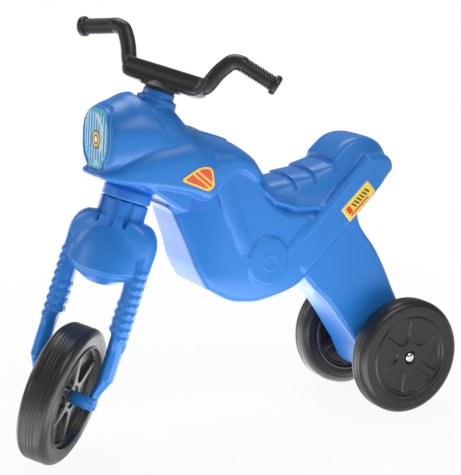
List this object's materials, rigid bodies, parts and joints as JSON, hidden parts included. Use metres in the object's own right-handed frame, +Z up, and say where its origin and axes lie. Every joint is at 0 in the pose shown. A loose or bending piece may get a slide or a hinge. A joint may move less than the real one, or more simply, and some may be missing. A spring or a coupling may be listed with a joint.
{
  "type": "three-wheel ride-on motorcycle",
  "caption": "Foot-pushed toy motorcycle in blue blow-moulded plastic, with a stepped seat, a fork and handlebar that steer, and spoked plastic wheels that roll on their axles.",
  "frame": {"origin": "on the floor, at the middle of the toy's length and width as it stands with the steering turned to the left", "axes": "+Z up; the toy faces -Y; +X is its left side; the body is symmetric about the plane X = 0.0191"},
  "size_m": [0.2252, 0.6654, 0.5737],
  "materials": {
    "blue_plastic": "blow-moulded blue polyethylene, satin gloss",
    "black_plastic": "black moulded plastic, low sheen",
    "wheel_plastic": "black blow-moulded wheel, greyish sheen on the tread",
    "bright_cap": "bright plated push cap",
    "zinc_steel": "zinc-plated steel",
    "bearing_plastic": "dark bearing plastic"
  },
  "bodies": {
    "frame": {"body_shell": "blue_plastic", "neck_bush_lower": "bearing_plastic", "neck_bush_upper": "bearing_plastic", "rear_axle": "zinc_steel", "rear_axle_cap_left": "bright_cap", "rear_axle_cap_right": "bright_cap", "rear_inner_washer_left": "zinc_steel", "rear_inner_washer_right": "zinc_steel", "rear_outer_washer_left": "zinc_steel", "rear_outer_washer_right": "zinc_steel"},
    "steering": {"fork": "blue_plastic", "handlebar": "black_plastic", "handlebar_cover": "black_plastic", "steering_bolt": "zinc_steel", "steering_bolt_washer": "zinc_steel", "steering_nut_washer": "zinc_steel", "steering_nut": "zinc_steel", "front_axle": "zinc_steel", "front_retainer_left": "zinc_steel", "front_retainer_right": "zinc_steel", "front_washer_left": "zinc_steel", "front_washer_right": "zinc_steel"},
    "front_wheel": {"front_wheel": "wheel_plastic"},
    "rear_wheel_left": {"rear_wheel_left": "wheel_plastic"},
    "rear_wheel_right": {"rear_wheel_right": "wheel_plastic"}
  },
  "joints": [
    {"name": "steering_turn", "type": "hinge", "parent": "frame", "child": "steering", "pos_m": [0.01906, -0.282, 0], "axis": [0, 0.3616, 0.9323], "range_deg": [-88.9, 1.1]},
    {"name": "front_wheel_spin", "type": "hinge", "parent": "steering", "child": "front_wheel", "pos_m": [0.02288, -0.24924, 0.09542], "axis": [0.7206, 0.6465, -0.2508], "continuous": true},
    {"name": "rear_wheel_left_spin", "type": "hinge", "parent": "frame", "child": "rear_wheel_left", "pos_m": [0.09556, 0.2497, 0.083], "axis": [1, 0, 0], "continuous": true},
    {"name": "rear_wheel_right_spin", "type": "hinge", "parent": "frame", "child": "rear_wheel_right", "pos_m": [-0.05744, 0.2497, 0.083], "axis": [1, 0, 0], "continuous": true}
  ]
}
